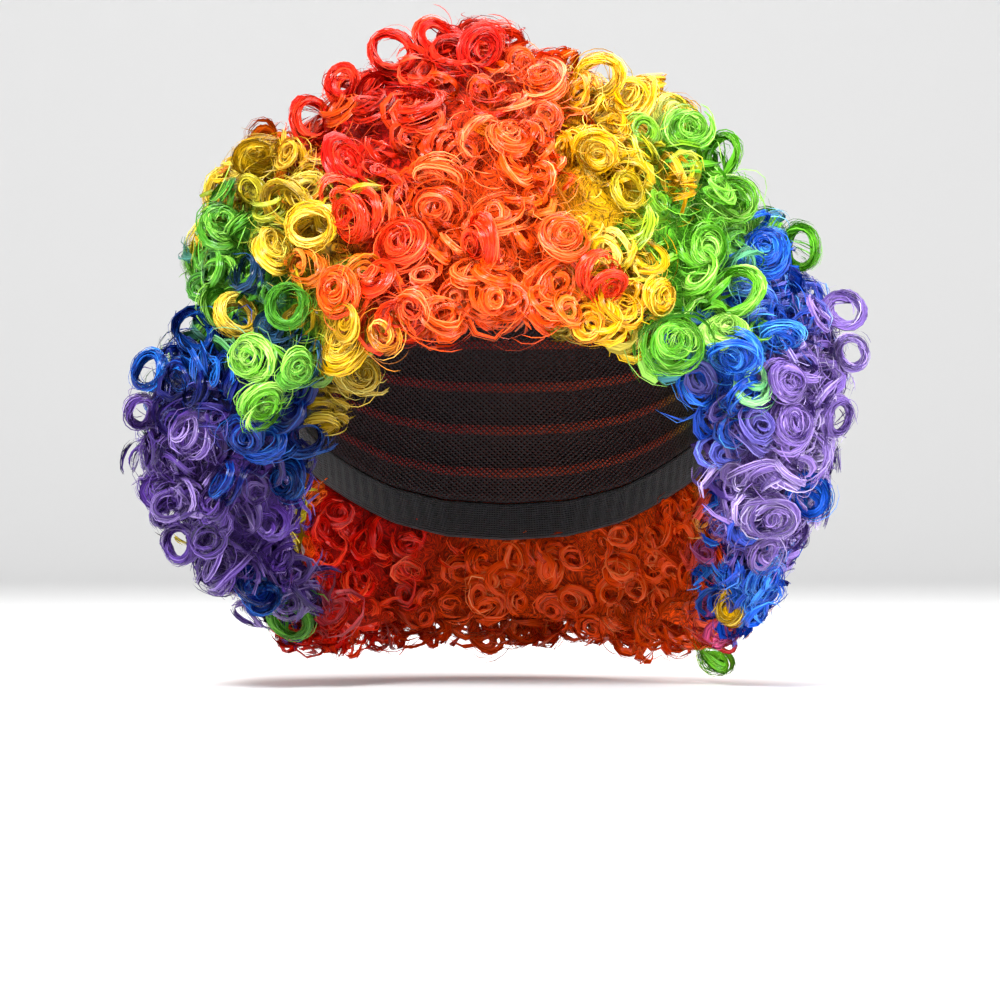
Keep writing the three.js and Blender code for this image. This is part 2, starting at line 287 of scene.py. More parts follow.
def across(d, around):
    """A direction square to d, turned round it by an angle."""
    side = unit(np.cross(np.broadcast_to([0.03, 0.05, 1.0], d.shape), d))
    other = np.cross(d, side)
    return side * np.cos(around)[..., None] + other * np.sin(around)[..., None]


def leaning(d, lean):
    """Axes that lean from d by angles, to any side."""
    sideways = across(d, uniform(0, TURN, len(d)))
    return unit(d * np.cos(lean)[:, None] + sideways * np.sin(lean)[:, None])


CARRIED = ("name", "shown", "place", "facing")  # from a curl to its strips


def curls(centre, axis, **sizes):
    """A table of curls, a row each: its place, the way out, its axis, sizes, start, hand, shade and node.

    Its fill is 1 for a swirl and 0 for an open loop. Shown is empty where the colour follows the place.
    """
    count = len(centre)
    d = unit(centre - CENTRE)
    axis = axis * np.where(np.sum(axis * d, axis=1) < 0, -1, 1)[:, None]
    table = {"centre": centre, "d": d, "axis": axis}
    for name in ("radius", "length", "turns", "shrink", "fill"):
        table[name] = np.broadcast_to(sizes[name], count).astype(float)
    table["start"] = uniform(0, TURN, count)
    table["hand"] = rng.choice([-1, 1], count)
    table["shade"] = normal(0.45, 0.1, count)
    table["shown"] = np.full(count, "", dtype=object)
    table["place"] = unit(d + normal(0, 0.08, d.shape))
    table["name"] = names_of(table["place"])
    table["facing"] = np.ones(count)
    return table


def joined(tables):
    return {key: np.concatenate([table[key] for table in tables]) for key in tables[0]}


def picked(table, keep):
    return {key: values[keep] for key, values in table.items()}


def outside_hair(points):
    """How far each point is from the hair, which lies between its inside, its outline and its edge."""
    d, reach = from_centre(points)
    over = np.maximum(reach - outline_radius(d), inside_radius(d) - reach)
    below = -points[..., 2] - hair_drop(azimuth_of(d))
    return np.hypot(np.maximum(over, 0), np.maximum(below, 0))


def standout_curls():
    """The curls of STANDOUTS, each where its line of sight meets the hair or passes closest to it."""
    rows = Standout(*map(np.array, zip(*STANDOUTS)))
    count = len(STANDOUTS)
    swirl = rows.fill > 0
    y = np.arange(-0.15, 0.09, SIGHT_STEP)
    plane = np.stack([rows.x / 1000, 0 * rows.x, rows.z / 1000], -1)
    sight = EYE + (plane - EYE)[:, None] * ((y - EYE[1]) / -EYE[1])[:, None]
    outside = outside_hair(sight)
    met = sight[np.arange(count), np.argmin(np.maximum(outside, SIGHT_STEP), axis=1)]
    radius = rows.radius / 1000
    deep = np.where(outside.min(axis=1) <= SIGHT_STEP, 0.3, -0.1) * radius
    centre = met - unit(met - CENTRE) * deep[:, None]
    lean = np.where(swirl, uniform(20, 58, count), uniform(5, 35, count))
    axis = leaning(unit(EYE - centre), np.radians(lean))
    long = rows.length > CORKSCREW * rows.radius
    axis = np.where(long[:, None], unit(axis + [0.6, 0.3, -2.2]), axis)
    length = rows.length / 1000
    turns = np.where(long, 3.4, np.where(swirl, 2.3, 1.5))
    shrink = np.where(swirl, 0.15, 0.1)
    table = curls(centre, axis, radius=radius, length=length, turns=turns, shrink=shrink, fill=rows.fill)
    table["shown"] = rows.shown.astype(object)
    table["shade"] = normal(0.5, 0.06, count)
    return table


def seen(points):
    """Where the camera sees points, in the upright plane of the origin."""
    sight = points - EYE
    return EYE + sight * (-EYE[1] / sight[..., 1:2])


def free_loops(taken, shift):
    """The open loops at the front's outline: their middles, moved outwards, and their radii."""
    at_outline = below_outline(seen(taken["centre"])) < 1.7 * taken["radius"]
    free = (taken["fill"] == 0) & at_outline
    moved = seen(taken["centre"] + taken["d"] * (shift * taken["radius"])[:, None])
    return moved[free], taken["radius"][free]


def clear_of(table, taken):
    """Which curls leave room for those that stand out."""
    apart = size_of(table["centre"][:, None] - taken["centre"])
    return (apart > ROOM * (table["radius"][:, None] + taken["radius"])).all(axis=1)


def dip(centre, radius, taken):
    """How far curls lie back where they would hide the light through the open loops at the outline."""
    d = unit(centre - CENTRE)
    middle, reach = free_loops(taken, 0.35)
    aside = size_of(seen(centre)[:, None] - middle) / (radius[:, None] + reach)
    rounding = outline_radius(d) * (1 - np.sqrt(1 - d[:, 1] ** 2))
    return (smooth((1.1 - aside) / 0.3) * np.maximum(0, 1.5 * reach - rounding[:, None])).max(axis=1)


def outer_curls(count, deepest, taken):
    """The curls of the outside of the hair, clear of those that stand out, down to a depth below it.

    At the outline seen from the front most face forwards, so that they show as loops.
    """
    d = spread(count, 0.035)
    corkscrew = rng.random(count) < CORKSCREW_SHARE
    sizes = rng.choice(list(CURL_RADII), count, p=list(CURL_RADII.values()))
    radius = sizes * uniform(0.88, 1.14, count) * np.where(corkscrew, 0.7, 1)
    free = leaning(d, np.radians(uniform(0, 65, count)))
    forward = leaning(np.broadcast_to([0.0, -1.0, 0.0], d.shape), np.radians(uniform(0, 50, count)))
    hanging = unit(np.array([0, 0, -1.0]) + 0.3 * d + normal(0, 0.45, d.shape))
    at_outline = np.abs(d[:, 1]) < BELT
    faces_forward = rng.random(count) < np.where(at_outline, 0.6, 0.2)
    axis = np.where(faces_forward[:, None], forward, free)
    fill = (rng.random(count) < np.where(at_outline, 0.65, 0.85)) & ~corkscrew
    standing_up = radius * np.sqrt(1 - np.sum(axis * d, axis=1) ** 2) + uniform(-0.0025, 0.002, count)
    deep = radius * uniform(0.3, 0.9, count) + uniform(deepest - 0.005, deepest, count)
    centre = CENTRE + d * (outline_radius(d) - np.maximum(deep, standing_up))[:, None]
    centre = centre - d * dip(centre, radius, taken)[:, None]
    axis = np.where(corkscrew[:, None], hanging, axis)
    length = np.where(corkscrew, uniform(*CORKSCREW_LENGTH, count), uniform(*CURL_LENGTH, count))
    turns = np.where(corkscrew, 2.5, np.where(fill, uniform(1.7, 2.3, count), 1.4))
    shrink = np.where(corkscrew, 0, uniform(0, 0.3, count))
    table = curls(centre, axis, radius=radius, length=length, turns=turns, shrink=shrink, fill=fill)
    above = -centre[:, 2] < hair_drop(azimuth_of(d)) - 0.3 * radius
    return picked(table, above & clear_of(table, taken))


def rim_azimuths(count):
    """Azimuths evenly along the lower edge of the hair, each moved a little at random."""
    azimuth = np.linspace(-math.pi, math.pi, 721)
    d = direction(azimuth, polar_at(azimuth, outline_radius, hair_drop(azimuth)))
    step = size_of(np.diff(d * outline_radius(d)[:, None], axis=0))
    share = (np.arange(count) + uniform(0.2, 0.8, count)) / count
    return np.interp(share, running(step) / step.sum(), azimuth)


def rim_curls(count, share, taken):
    """The curls along the lower edge of the hair, all round, clear of those that stand out."""
    azimuth = rim_azimuths(count)
    drop = hair_drop(azimuth) - uniform(-0.002, 0.005, count)
    radius = uniform(0.007, 0.0098, count)
    ends = []
    for surface in (inside_radius, outline_radius):
        d = direction(azimuth, polar_at(azimuth, surface, drop))
        ends.append(d * surface(d)[:, None])
    way = ends[1] - ends[0]
    width = size_of(way)
    share = np.clip(share, radius * 1.25 / width, 1 - radius / width)
    centre = CENTRE + ends[0] + way * share[:, None]
    forward = np.where(centre[:, 1:2] < 0, [0, -0.9, -0.2], 0)
    axis = leaning(unit(unit(centre - CENTRE) + forward), np.radians(uniform(5, 50, count)))
    length = uniform(0.005, 0.011, count)
    turns = uniform(1.7, 2.3, count)
    table = curls(centre, axis, radius=radius, length=length, turns=turns, shrink=0.2, fill=1)
    return picked(table, clear_of(table, taken))


def hanging_curls(spacing):
    """The smaller curls of the hair's inside, where it hangs below the cap."""
    places = []
    for azimuth in np.radians(np.concatenate([np.arange(-180, -56, 7), np.arange(58, 180, 7)])):
        rows = np.arange(cap_drop(azimuth) + 0.004, hair_drop(azimuth) - 0.006, spacing)
        places += [(azimuth, drop) for drop in rows]
    azimuth, drop = np.array(places).T
    azimuth = azimuth + normal(0, 0.04, len(azimuth))
    drop = drop + uniform(0, 0.006, len(drop))
    radius = uniform(0.006, 0.0085, len(drop))
    d = direction(azimuth, polar_at(azimuth, inside_radius, drop))
    level = direction(azimuth, math.pi / 2)
    centre = CENTRE + d * inside_radius(d)[:, None] + level * (radius * 0.5)[:, None]
    inward = -leaning(level, np.radians(uniform(0, 50, len(drop))))
    table = curls(centre, inward, radius=radius, length=0.005, turns=1.9, shrink=0.2, fill=1)
    table["axis"] = inward
    return turned_in(table)


def turned_in(table):
    """The same curls as part of the hair's inside."""
    return {**table, "facing": -table["facing"]}


def wave(rate, shape, t):
    """A slow wave along each row, as fast as rate lets it be, that starts anywhere."""
    speed = uniform(0.5, rate, shape)
    return np.sin(TURN * (speed * t + rng.random(shape)))


def coiled(table, angle, bow, rise, sunk, drift):
    """Points round each curl's axis, sunk into the hair and drifted aside, and the way out at each."""
    side = across(table["axis"], table["start"])
    ways = (side, np.cross(table["axis"], side), table["axis"], table["d"])
    side, other, axis, d = (way[:, None, None] for way in ways)
    out = np.cos(angle)[..., None] * side + np.sin(angle)[..., None] * other
    path = table["centre"][:, None, None] + out * bow[..., None] + side * drift[..., None]
    return path + axis * rise[..., None] - d * sunk[..., None], out


def flattened(table, each, shade, **arrays):
    """One row for each strip, from arrays with a row for each curl and a column for each of its strips."""
    made = {key: values.reshape(-1, *values.shape[2:]) for key, values in arrays.items()}
    kept = {key: np.repeat(table[key], each, axis=0) for key in CARRIED}
    return {**made, **kept, "shade": shade.reshape(-1)}


def locks_of(table, locks, fine, points, width):
    """The locks of curls, each a satin ribbon, and the fine fibres that run along it.

    A swirl's locks lie from its outside in to its middle, bunched to one side of it. A corkscrew's follow
    one another along its axis.
    """
    count = len(table["radius"])
    shape = (count, locks, 1)
    t = np.linspace(0, 1, points)
    radius, length, turns, hand, fill = (
        table[key].reshape(count, 1, 1) for key in ("radius", "length", "turns", "hand", "fill")
    )
    corkscrew = length > CORKSCREW * radius
    order = (np.arange(locks)[:, None] + 1.6 * t) / (locks + 0.6)
    inner = (np.arange(locks)[:, None] + rng.random(shape)) / locks * np.where(fill > 0, 1, 0.3)
    turned = np.where(corkscrew, turns * order, rng.random(shape) + uniform(0.7, 1.15, shape) * t)
    angle = hand * TURN * turned
    oval = 1 + 0.16 * np.sin(2 * angle + uniform(0, 6, (count, 1, 1)))
    bow = radius * (1 - 0.74 * inner) * (1 - uniform(0, 0.2, shape) * t * ~corkscrew)
    bow = bow * oval * (1 + 0.06 * wave(1.5, shape, t))
    drift = radius * inner * uniform(-0.1, 0.6, (count, 1, 1)) + 0 * t
    level = uniform(-0.5, 0.5, shape) * (1 - 0.7 * inner) + 0.5 * (t - 0.5)
    rise = np.where(corkscrew, length * (order - 0.5), length * level + 0.2 * radius * inner)
    incline = normal(0, 0.22, shape) * radius * ~corkscrew
    rise = rise + incline * np.sin(angle + uniform(0, 6, shape))
    tilt = np.where(corkscrew, 25, np.where(fill > 0, 32 + 80 * inner, uniform(10, 80, shape)))
    tilt = tilt + normal(0, 14, shape) + 25 * wave(1.0, shape, t)
    rooted = (rng.random(shape) < np.where(fill > 0, 0.35, 0.2)) & ~corkscrew
    sunk = radius * rooted * (1 - smooth(t / 0.3))
    broad = uniform(*width, shape) / 2 * (1 - 0.3 * inner)
    taper = (0.12 + 0.88 * smooth((1 - t) / 0.3)) * (0.18 + 0.82 * smooth(t / 0.25))
    taper = np.where(corkscrew, 0.5 + 0.5 * taper, taper)
    shade = table["shade"][:, None, None] + normal(-0.05, 0.08, shape)
    axis = table["axis"][:, None, None]

    def lying(angle, bow, rise, tilt, sunk, drift):
        path, out = coiled(table, angle, bow, rise, sunk, drift)
        slope = np.radians(tilt)[..., None]
        return path, axis * np.cos(slope) - out * np.sin(slope), out * np.cos(slope) + axis * np.sin(slope)

    lock = (angle, bow, rise, tilt, sunk, drift)
    path, flat, up = lying(*lock)
    ribbons = flattened(table, locks, shade, path=path, flat=flat, up=up, half=broad * taper)
    lock = [np.repeat(values, fine, axis=1) for values in lock]
    broad, shade = (np.repeat(values, fine, axis=1) for values in (broad * taper, shade))
    shape = (count, locks * fine, 1)
    lock[0] = lock[0] + normal(0, 0.25, shape)
    lock[1] = lock[1] + normal(0, 0.0002, shape) + 0.0003 * wave(1.5, shape, t)
    path, flat, up = lying(*lock)
    side = uniform(-1, 1, shape)
    lift = 0.0002 + (1 - side**2) * 0.0004 + uniform(0, 0.0004, shape)
    path = path + flat * (side * broad)[..., None] + up * lift[..., None]
    up = unit(up + flat * (0.8 * side)[..., None])
    half = uniform(0.00013, 0.00028, shape) * smooth(0.4 + t / 0.1) * smooth(0.4 + (1 - t) / 0.1)
    shade = shade + normal(0.12, 0.14, shape)
    return ribbons, flattened(table, locks * fine, shade, path=path, flat=flat, up=up, half=half)


def fibres_of(table, locks, per_lock, points, span, width):
    """The fibres of curls. Each curl has a few locks, and a lock is fibres that run side by side."""
    count = len(table["radius"])
    each = locks * per_lock
    shape = (count, each, 1)
    lock = (count, locks, 1)
    t = np.linspace(0, 1, points)

    def by_lock(values):
        return np.repeat(values, per_lock, axis=1)

    radius, length, spin, hand, shrink, fill = (
        table[key].reshape(count, 1, 1) for key in ("radius", "length", "turns", "hand", "shrink", "fill")
    )
    share = np.minimum(span / spin, 1)
    along = (1 - share) * rng.random(shape) + share * t
    angle = by_lock(normal(0, 0.3, lock)) + normal(0, 0.15, shape) + hand * TURN * spin * along
    inner = by_lock(rng.random(lock)) * np.where(fill > 0, 0.85, 0.14)
    bow = radius * (1.05 - inner) * (1 - shrink * along)
    bow = bow + normal(0, 0.0005, shape) + normal(0, 0.0005, shape) * wave(1.6, shape, t)
    rise = length * (along - 0.5) * (1 - 0.6 * inner) + (length * 0.35 + radius * 0.35) * inner * fill
    rise = rise + 0.0005 + by_lock(normal(0, 0.0009, lock))
    rise = rise + normal(0, 0.0006, shape) * wave(1.6, shape, t)
    rooted = (rng.random(shape) < 0.3) * (1 - smooth(t / 0.3))
    drift = radius * inner * uniform(-0.3, 0.6, shape) + 0 * t
    path, out = coiled(table, angle, bow, rise, radius * rooted, drift)
    half = uniform(*width, shape) / 2 * smooth(0.3 + t / 0.12) * smooth(0.3 + (1 - t) / 0.12)
    shade = table["shade"][:, None, None] + by_lock(normal(0, 0.09, lock))
    shade = shade + normal(0.05, 0.14, shape)
    flat, up = twisted(path, out)
    return flattened(table, each, shade, path=path, flat=flat, up=up, half=half)


def twisted(path, out):
    """The ways across fibres, which turn slowly round them, and the ways out square to the fibres."""
    ahead = unit(np.gradient(path, axis=-2))
    up = unit(out - ahead * np.sum(out * ahead, -1, keepdims=True))
    side = np.cross(ahead, up)
    t = np.linspace(0, 1, path.shape[-2])
    shape = (*path.shape[:-2], 1)
    twist = uniform(0, math.pi, shape) + normal(0, 1.0, shape) * t
    return side * np.cos(twist)[..., None] + up * np.sin(twist)[..., None], up


def arcs(centre, axis, radius, span, points, width):
    """Loose fibres in arcs round a centre, in turns span, each a little wavy and out of its plane."""
    count = len(centre)
    shape = (count, 1)
    t = np.linspace(0, 1, points)
    u = across(axis, uniform(0, TURN, count))
    v = np.cross(axis, u)
    angle = TURN * span[:, None] * t
    bow = 1 + normal(0, 0.08, shape) * wave(1.2, shape, t) + normal(0, 0.2, shape) * t
    rise = normal(0, 0.35, shape) * radius[:, None] * t
    out = np.cos(angle)[..., None] * u[:, None] + np.sin(angle)[..., None] * v[:, None]
    path = centre[:, None] + out * (radius[:, None] * bow)[..., None] + axis[:, None] * rise[..., None]
    taper = smooth(0.3 + t / 0.2) * smooth(0.3 + (1 - t) / 0.2)
    flat, up = twisted(path, out)
    return {"path": path, "flat": flat, "up": up, "half": uniform(*width, shape) / 2 * taper}


def halo(table, per_curl, points, width):
    """Loose fibres that follow each curl, some in wider arcs that fill the room to its neighbours."""
    table = picked(table, np.repeat(np.arange(len(table["radius"])), per_curl))
    count = len(table["radius"])
    swirl = table["fill"] > 0
    wide = np.where(swirl, uniform(0.7, 1.4, count), uniform(0.85, 1.1, count))
    radius = table["radius"] * wide
    rise = np.minimum(table["length"], 0.01) * uniform(-0.9, 0.3, count)
    axis = unit(table["axis"] + normal(0, 0.2, (count, 3)))
    centre = table["centre"] + table["axis"] * rise[:, None] + normal(0, 0.0012, (count, 3))
    d, reach = from_centre(centre)
    beyond = np.maximum(0, reach + radius - outline_radius(d))
    centre = centre - table["d"] * (beyond * 0.9 * swirl)[:, None]
    made = arcs(centre, axis, radius, uniform(0.2, 0.5, count), points, width)
    shade = table["shade"] + normal(0.06, 0.15, count)
    return {**made, **{key: table[key] for key in CARRIED}, "shade": shade}


def frizz(count, points, width, taken):
    """Single fibres that have sprung loose all over the hair, but not across the loops that show light."""
    d = spread(count, 0.03)
    radius = uniform(0.003, 0.009, count)
    deep = uniform(0.002, 0.011, count)
    axis = leaning(d, uniform(0, 1.2, count))
    tilt = np.sqrt(1 - np.sum(axis * d, axis=1) ** 2)
    centre = CENTRE + d * (outline_radius(d) - deep - radius * tilt)[:, None]
    keep = -centre[:, 2] < hair_drop(azimuth_of(d)) - 0.005
    d, centre, axis, radius = d[keep], centre[keep], axis[keep], radius[keep]
    count = len(d)
    made = arcs(centre, axis, radius, uniform(0.15, 0.5, count), points, width)
    place = unit(d + normal(0, 0.03, d.shape))
    shown = np.full(count, "", dtype=object)
    rest = {"shade": normal(0.55, 0.2, count), "name": names_of(d), "place": place, "shown": shown}
    middle, reach = free_loops(taken, 0)
    aside = size_of(seen(made["path"])[:, :, None] - middle)
    crossing = (aside < 0.8 * reach).any(axis=(1, 2)) & (np.abs(d[:, 1]) < 0.5)
    return picked({**made, **rest, "facing": np.ones(count)}, ~crossing)


# Painted shade and light: the hair's colour is darkened the deeper it lies below the outline, and its
# inside is painted lighter
PAINTED_SHADE_DEEPEST = 0.5  # how light the hair stays deep below the outline
INSIDE_PAINTED_LIGHT = 1.15  # and on its inside
PAINTED_SHADE_FROM = 0.003  # how far below the outline it starts to darken
PAINTED_SHADE_OVER = 0.018  # and how much further down it is darkest
ROUNDNESS = 0.9  # of a ribbon's soft normals


def nearness(points):
    """How near points are to the hair's outline: 1 close to it, falling to 0 some way under it."""
    return 1 - np.clip((below_outline(points) - PAINTED_SHADE_FROM) / PAINTED_SHADE_OVER, 0, 1)


def strips(hair, roundness):
    """A strip along each path: its points, and for each face its corners and places on the maps.

    Its soft normals spread from edge to edge by roundness, as on a rounded lock.
    """
    path, flat, up, half = hair["path"], hair["flat"], hair["up"], hair["half"]
    count, points = half.shape
    sides = np.array([-1, 1])
    edges = np.stack([path + flat * half[..., None] * side for side in sides], 2)
    index = np.arange(count * points * 2).reshape(count, points, 2)
    faces = np.stack([index[:, :-1, 0], index[:, :-1, 1], index[:, 1:, 1], index[:, 1:, 0]], -1)
    run = running(size_of(np.diff(path, axis=1))) * 1000
    aside = (sides + 1) * half.mean(1)[:, None] * 1000 + uniform(0, 400, (count, 1))
    grain = np.stack(np.broadcast_arrays(aside[:, None, :], run[:, :, None]), -1)
    facing = hair["facing"][:, None, None]
    outward = unit(path - CENTRE) * facing
    soft = np.stack([unit(0.5 * outward + unit(up + flat * side * roundness)) for side in sides], 2)
    colour = colours_of(hair["place"], hair["shade"])
    for shown in set(hair["shown"]) - {""}:
        rows = hair["shown"] == shown
        colour[rows] = shades_of(shown, hair["shade"][rows])
    # Painted shade and light on the hair's colour: darker deep below the outline, lighter on the hair's
    # inside
    light = np.where(facing[..., 0] > 0, PAINTED_SHADE_DEEPEST + (1 - PAINTED_SHADE_DEEPEST) * nearness(path), INSIDE_PAINTED_LIGHT)
    colour = colour[:, None] * light[..., None]
    ahead = unit(np.gradient(path, axis=1))
    return {
        "points": edges.reshape(-1, 3),
        "faces": faces.reshape(-1, 4),
        "grain": grain.reshape(-1, 2)[faces.reshape(-1)],
        "colour": np.repeat(colour.reshape(-1, 3), 2, axis=0),
        "soft": soft.reshape(-1, 3),
        "ahead": np.repeat(ahead.reshape(-1, 3), 2, axis=0),
        "cells": np.full(count, points - 1),
    }


def columns_map(heights):
    """A map where each strip has a column of its own: one cell wide, one tall for each face."""
    wide = max(1, int(math.sqrt(np.sum(heights + 1) / 2)))
    order = np.arange(len(heights))
    row, column = order // wide, order % wide
    tall = np.array([heights[row == r].max() + 1 for r in range(row[-1] + 1)])
    base = running(tall)
    size = max(2 * wide, base[-1]) + 1.0
    x = np.repeat(2 * column + 0.5, heights)
    start = np.repeat(base[row] + 0.5, heights)
    y = start + np.arange(len(start)) - np.repeat(np.cumsum(heights) - heights, heights)
    corners = np.array([[0, 0], [1, 0], [1, 1], [0, 1]])
    return ((np.stack([x, y], -1)[:, None] + corners) / size).reshape(-1, 2)


def give_points(mesh, name, values, kind="FLOAT_VECTOR", field="vector"):
    made = mesh.attributes.new(name, kind, "POINT")
    made.data.foreach_set(field, values.astype(np.float32).ravel())


def give_colours(mesh, colours):
    opaque = np.concatenate([colours, np.ones((len(colours), 1))], 1)
    give_points(mesh, "Hue", opaque, "FLOAT_COLOR", "color")


def give_map(mesh, name, places):
    made = mesh.uv_layers.new(name=name)
    made.uv.foreach_set("vector", places.astype(np.float32).ravel())


def mesh_of(name, parts):
    """One mesh from several sets of strips."""
    whole = {key: np.concatenate([p[key] for p in parts]) for key in parts[0] if key != "faces"}
    starts = np.cumsum([0] + [len(p["points"]) for p in parts])
    faces = np.concatenate([p["faces"] + start for p, start in zip(parts, starts)])
    mesh = bpy.data.meshes.new(name)
    mesh.vertices.add(len(whole["points"]))
    mesh.vertices.foreach_set("co", whole["points"].astype(np.float32).ravel())
    mesh.loops.add(faces.size)
    mesh.loops.foreach_set("vertex_index", faces.astype(np.int32).ravel())
    mesh.polygons.add(len(faces))
    mesh.polygons.foreach_set("loop_start", np.arange(0, faces.size, 4, dtype=np.int32))
    mesh.polygons.foreach_set("loop_total", np.full(len(faces), 4, dtype=np.int32))
    mesh.polygons.foreach_set("use_smooth", np.ones(len(faces), bool))
    give_map(mesh, "Grain", whole["grain"])
    give_map(mesh, "OFBake", columns_map(whole["cells"]))
    mesh.update(calc_edges=True)
    give_colours(mesh, whole["colour"])
    give_points(mesh, "Soft", whole["soft"])
    give_points(mesh, "Along", whole["ahead"])
    return mesh


def in_scene(name, data):
    made = bpy.data.objects.new(name, data)
    bpy.context.scene.collection.objects.link(made)
    return made


def placed(name, mesh, material, replaced):
    mesh.materials.append(material)
    piece = in_scene(name, mesh)
    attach(piece, "root")
    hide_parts(replaced)


def new_material(name):
    material = bpy.data.materials.new(name)
    material.use_nodes = True
    tree = material.node_tree
    return material, tree, tree.nodes["Principled BSDF"]


def feed(tree, made, inputs):
    """Gives a node its inputs, each a value or the socket that feeds it."""
    for key, value in inputs.items():
        if isinstance(value, bpy.types.NodeSocket):
            tree.links.new(value, made.inputs[key])
        else:
            made.inputs[key].default_value = value


def node(tree, kind, inputs=(), **settings):
    made = tree.nodes.new(f"ShaderNode{kind}")
    for key, value in settings.items():
        setattr(made, key, value)
    feed(tree, made, dict(inputs))
    return made


def attribute(tree, name, output):
    return node(tree, "Attribute", attribute_name=name).outputs[output]


def grain_map(tree):
    """The map of the strips or of the cap, in millimetres."""
    return node(tree, "UVMap", uv_map="Grain").outputs["UV"]


def mapped(tree, place, **changes):
    return node(tree, "Mapping", {"Vector": place, **changes}).outputs["Vector"]


def bumped(tree, height, strength, distance, **more):
    inputs = {"Height": height, "Strength": strength, "Distance": distance, **more}
    return node(tree, "Bump", inputs).outputs["Normal"]


def of_vectors(tree, operation, inputs, output="Vector"):
    return node(tree, "VectorMath", inputs, operation=operation).outputs[output]


def ranged(tree, value, low, high, to_low, to_high):
    inputs = {"Value": value, "From Min": low, "From Max": high, "To Min": to_low, "To Max": to_high}
    return node(tree, "MapRange", inputs).outputs["Result"]


def mixed(tree, factor, a, b, blend="MIX"):
    return node(tree, "Mix", {0: factor, 6: a, 7: b}, data_type="RGBA", blend_type=blend).outputs[2]


def calculated(tree, operation, *values):
    return node(tree, "Math", dict(enumerate(values)), operation=operation).outputs["Value"]


def streaks(tree, grain, across_scale, along_scale):
    """Fine streaks along the fibres, as noise on the map in millimetres."""
    place = mapped(tree, grain, Scale=(across_scale, along_scale, 1))
    noise = {"Vector": place, "Scale": 1.0, "Detail": 2.0, "Roughness": 0.6}
    return node(tree, "TexNoise", noise, noise_dimensions="2D").outputs["Fac"]


def hair_material(name):
    """Glossy synthetic fibre: fine streaks along each strip, and gloss stretched across the fibres."""
    material, tree, shader = new_material(name)
    hue = attribute(tree, "Hue", "Color")
    soft = attribute(tree, "Soft", "Vector")
    streak = streaks(tree, grain_map(tree), 1.8, 0.06)
    facing = node(tree, "NewGeometry").outputs["Normal"]
    agreed = of_vectors(tree, "DOT_PRODUCT", {0: facing, 1: soft}, "Value")
    turned = of_vectors(tree, "SCALE", {0: soft, "Scale": calculated(tree, "SIGN", agreed)})
    blend = node(tree, "Mix", {0: 0.65, 4: facing, 5: turned}, data_type="VECTOR").outputs[1]
    inputs = {
        "Base Color": mixed(tree, 1.0, hue, ranged(tree, streak, 0.3, 0.7, 0.5, 1.4), "MULTIPLY"),
        "Roughness": ranged(tree, streak, 0.3, 0.7, 0.2, 0.36),
        "Normal": bumped(tree, streak, 0.5, 0.0005, Normal=blend),
        "Tangent": attribute(tree, "Along", "Vector"),
        "Anisotropic": 0.8,
        "Anisotropic Rotation": 0.25,
        "Specular IOR Level": 0.24,
    }
    feed(tree, shader, inputs)
    return material


def layer_of_noise(tree, place, scale, output):
    inputs = {"Vector": place, "Scale": scale, "Detail": 1.0}
    return node(tree, "TexNoise", inputs).outputs[output]


def crossing_fibres(tree, place):
    """Fibres that cross every way, as layers of stretched noise on a warped place."""
    warp = layer_of_noise(tree, place, 90.0, "Color")
    bent = of_vectors(tree, "MULTIPLY_ADD", {0: warp, 1: (0.03, 0.03, 0.03), 2: place})
    most = 0.0
    for turn in ((0, 0, 0), (1.3, 0.3, 0), (0.3, 1.3, 0.6), (0.9, 0.8, 0)):
        along = mapped(tree, bent, Rotation=turn, Scale=(1, 1, 0.07))
        most = calculated(tree, "MAXIMUM", layer_of_noise(tree, along, 1100.0, "Fac"), most)
    return most


def under_hair_material(name):
    """The mass below the curls: a tangle of fibres, its colour darkened as painted shade."""
    material, tree, shader = new_material(name)
    hue = attribute(tree, "Hue", "Color")
    fibres = crossing_fibres(tree, node(tree, "TexCoord").outputs["Object"])
    inputs = {
        "Base Color": mixed(tree, 1.0, hue, ranged(tree, fibres, 0.5, 0.72, 0.25, 1.6), "MULTIPLY"),
        "Normal": bumped(tree, fibres, 0.8, 0.001),
        "Roughness": 0.6,
        "Specular IOR Level": 0.1,
    }
    feed(tree, shader, inputs)
    return material


# The under-hair, a closed lumpy wall from the cap out to a little below the curls
UNDER_DEPTH = 0.017  # from the outline down to the under-hair
UNDER_LIFT = 0.008  # clear of the hair's inside at its lower edge, and less above
UNDER_ENDS = (0.006, 0.009)  # above the hair's lower edge, outside and inside
UNDER_COLUMNS = 150
UNDER_ROWS = 46
# The under-hair's colour is a deep tone of the hair's own, darkened further, as painted shade
UNDER_PAINTED_SHADE_TONE = 0.3
UNDER_PAINTED_SHADE = 0.75
LUMP_WAVES = 14
LUMP_HEIGHT = 0.0022


def lumps(points):
    """Rounded bumps, as the sum of waves in all directions."""
    total = np.zeros(points.shape[:-1])
    for _ in range(LUMP_WAVES):
        way = unit(normal(0, 1, 3)) * TURN / uniform(0.014, 0.03)
        total = total + np.sin(points @ way + uniform(0, TURN))
    return total * LUMP_HEIGHT / math.sqrt(LUMP_WAVES / 2)


def grid_cells(index):
    """The four corners of each cell of a grid of point numbers."""
    return np.stack([index[:-1, :-1], index[:-1, 1:], index[1:, 1:], index[1:, :-1]], -1)


def tidy(mesh):
    """Joins points that meet, turns the faces outwards and shades them smooth."""
    shape = bmesh.new()
    shape.from_mesh(mesh)
    bmesh.ops.remove_doubles(shape, verts=shape.verts, dist=1e-6)
    bmesh.ops.recalc_face_normals(shape, faces=shape.faces)
    for face in shape.faces:
        face.smooth = True
    shape.to_mesh(mesh)
    shape.free()


